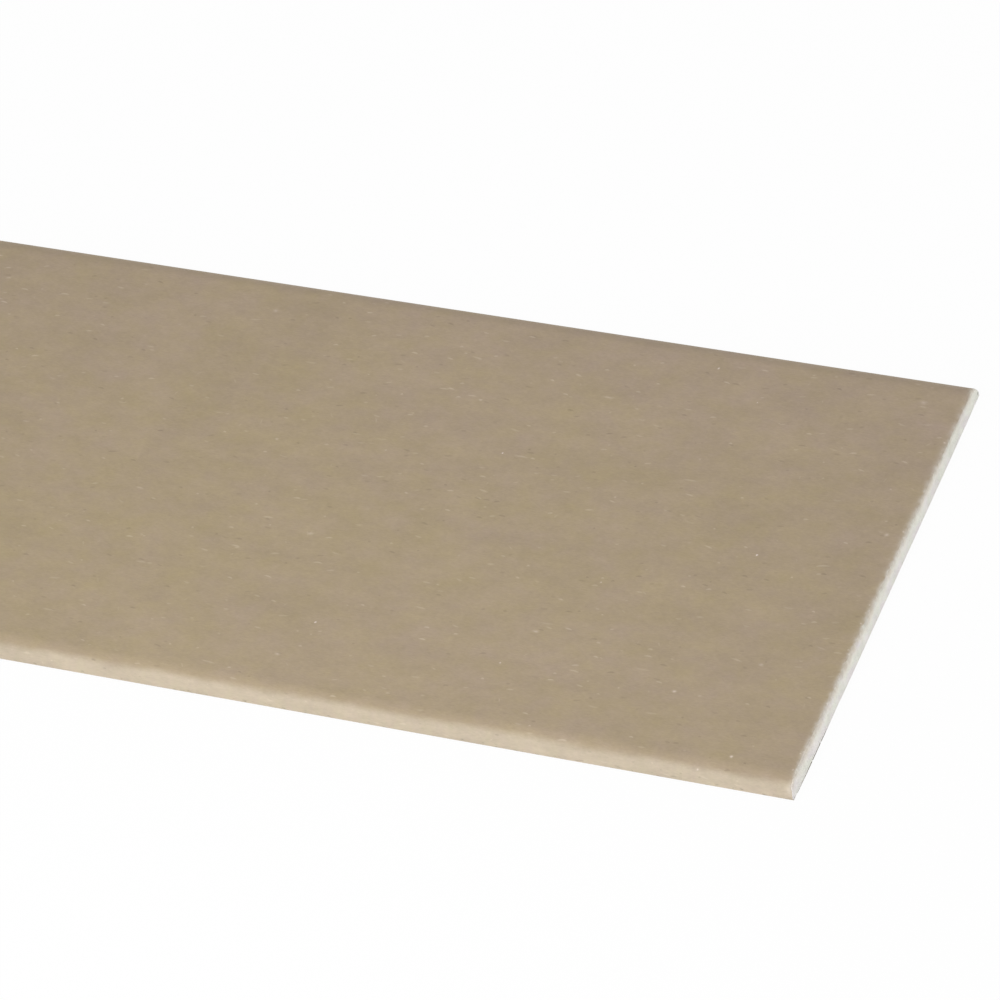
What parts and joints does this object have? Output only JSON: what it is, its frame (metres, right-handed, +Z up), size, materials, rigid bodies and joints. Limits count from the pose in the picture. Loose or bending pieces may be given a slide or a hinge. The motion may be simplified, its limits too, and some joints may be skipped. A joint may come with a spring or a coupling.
{
  "type": "drywall sheet",
  "caption": "Thick solid drywall sheet with half-round long edges, a gypsum core and paper liners, cut square at its ends.",
  "frame": {"origin": "middle of the underside, on the outer face of the back paper", "axes": "+X along the sheet's length, +Y across its width, +Z up through its thickness, from the back to the face"},
  "size_m": [2, 0.6, 0.025],
  "materials": {
    "gypsum": "matte",
    "face_paper": "matte",
    "back_paper": "matte"
  },
  "bodies": {
    "root": {"gypsum_core": "gypsum", "face_paper": "face_paper", "back_paper": "back_paper"}
  },
  "joints": []
}
